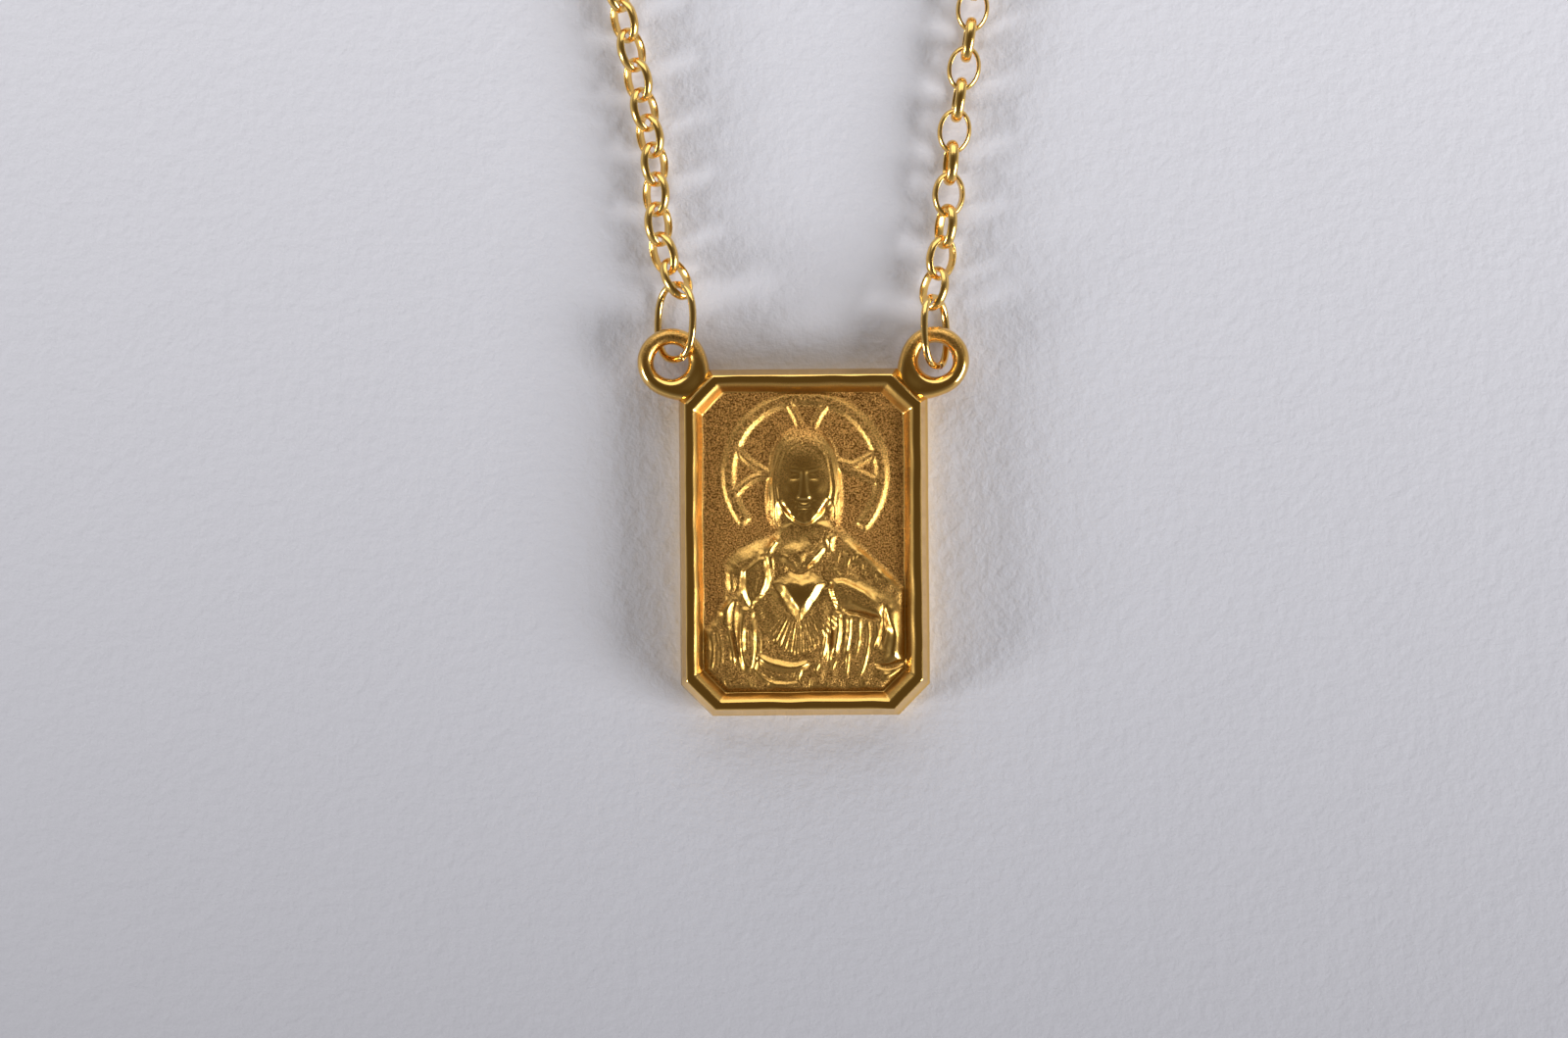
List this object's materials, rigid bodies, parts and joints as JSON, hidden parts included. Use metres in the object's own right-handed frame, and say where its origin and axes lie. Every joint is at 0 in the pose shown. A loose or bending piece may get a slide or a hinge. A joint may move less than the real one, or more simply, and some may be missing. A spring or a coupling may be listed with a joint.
{
  "type": "religious medal pendant on its necklace chain",
  "caption": "Cut-cornered gilt medal with a raised bust relief, ring lugs and oval jump rings, on a fine belcher chain closed by a plain ring clasp.",
  "frame": {"origin": "centre of the medal's flat back, on the surface that it lies on", "axes": "+X to the medal's right as seen from its face, +Y up the medal towards the chain, +Z out of the face"},
  "size_m": [0.1056, 0.175, 0.0027],
  "materials": {
    "cast_gold": "gold-plated casting: polished rim and lugs, satin relief, sand-blasted field",
    "ring_gold": "polished gold-plated round wire",
    "chain_gold": "polished gold-plated half-round wire links"
  },
  "bodies": {
    "root": {"medal": "cast_gold", "jump_ring_left": "ring_gold", "jump_ring_right": "ring_gold", "chain_link_left_1": "chain_gold", "chain_link_left_2": "chain_gold", "chain_link_left_3": "chain_gold", "chain_link_left_4": "chain_gold", "chain_link_left_5": "chain_gold", "chain_link_left_6": "chain_gold", "chain_link_left_7": "chain_gold", "chain_link_left_8": "chain_gold", "chain_link_left_9": "chain_gold", "chain_link_left_10": "chain_gold", "chain_link_right_1": "chain_gold", "chain_link_right_2": "chain_gold", "chain_link_right_3": "chain_gold", "chain_link_right_4": "chain_gold", "chain_link_right_5": "chain_gold", "chain_link_right_6": "chain_gold", "chain_link_right_7": "chain_gold", "chain_link_right_8": "chain_gold", "chain_link_right_9": "chain_gold", "chain_link_right_10": "chain_gold", "chain_left": "chain_gold", "chain_right": "chain_gold", "clasp": "ring_gold"}
  },
  "joints": []
}
